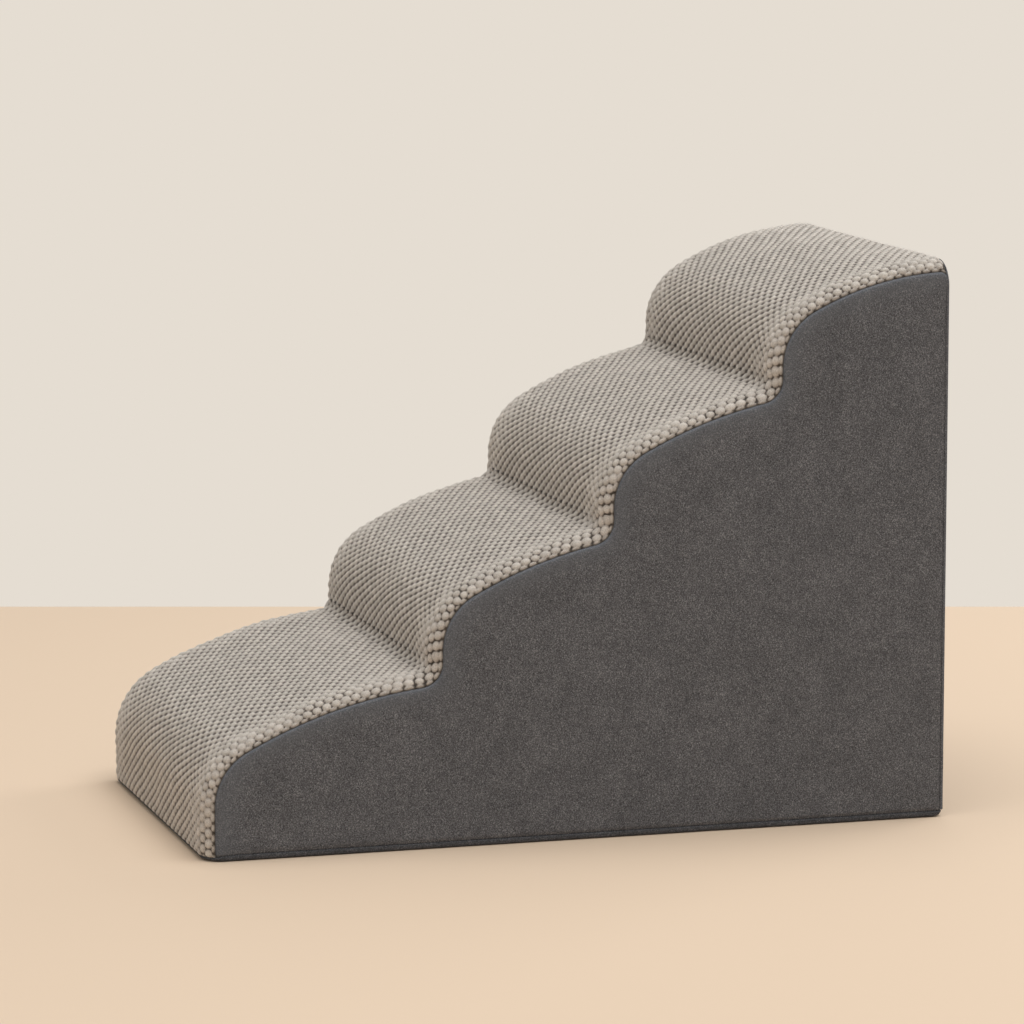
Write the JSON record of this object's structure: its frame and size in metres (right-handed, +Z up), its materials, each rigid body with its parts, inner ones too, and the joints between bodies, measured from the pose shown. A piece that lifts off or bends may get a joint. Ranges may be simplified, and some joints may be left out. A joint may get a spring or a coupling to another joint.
{
  "type": "pet stairs",
  "caption": "Free-standing foam stairs for a small pet: curved steps in a knitted cover with suede sides, zipped at the back.",
  "frame": {"origin": "on the floor, under the middle of the whole part's footprint", "axes": "+X from the toe of the lowest step to the back, +Y across the treads to the left side as a pet climbs, +Z up"},
  "size_m": [0.7308, 0.4, 0.538],
  "materials": {
    "bobble_knit": "chunky bobble knit, light greige",
    "side_suede": "short-napped suede cloth, charcoal grey",
    "non_slip_base": "coated cloth with small grip dots",
    "soft_foam": "open-cell memory foam",
    "core_foam": "open-cell high-density foam",
    "zip_tape": "woven polyester tape",
    "zip_plastic": "moulded",
    "slider_metal": "dark enamelled zinc"
  },
  "bodies": {
    "stairs": {"tread_cover": "bobble_knit", "left_side_panel": "side_suede", "right_side_panel": "side_suede", "upper_back_panel": "side_suede", "lower_back_panel": "side_suede", "base_panel": "non_slip_base", "comfort_foam": "soft_foam", "bottom_foam_slab": "core_foam", "lower_foam_slab": "core_foam", "upper_foam_slab": "core_foam", "top_foam_slab": "core_foam", "upper_zip_tape": "zip_tape", "lower_zip_tape": "zip_tape", "upper_zip_teeth": "zip_plastic", "lower_zip_teeth": "zip_plastic", "zip_top_stops": "zip_plastic", "zip_bottom_stop": "zip_plastic", "zip_end_tabs": "side_suede"},
    "slider": {"zip_slider": "slider_metal"},
    "pull_tab": {"zip_pull_tab": "slider_metal"}
  },
  "joints": [
    {"name": "zip_slide", "type": "slide", "parent": "stairs", "child": "slider", "axis": [0, -1, 0], "range_m": [0, 0.33], "deforming": ["upper_zip_teeth", "lower_zip_teeth"]},
    {"name": "pull_tab_hinge", "type": "hinge", "parent": "slider", "child": "pull_tab", "pos_m": [0.36375, 0.165, 0.055], "axis": [0, 0, 1], "range_deg": [0, 165]}
  ]
}
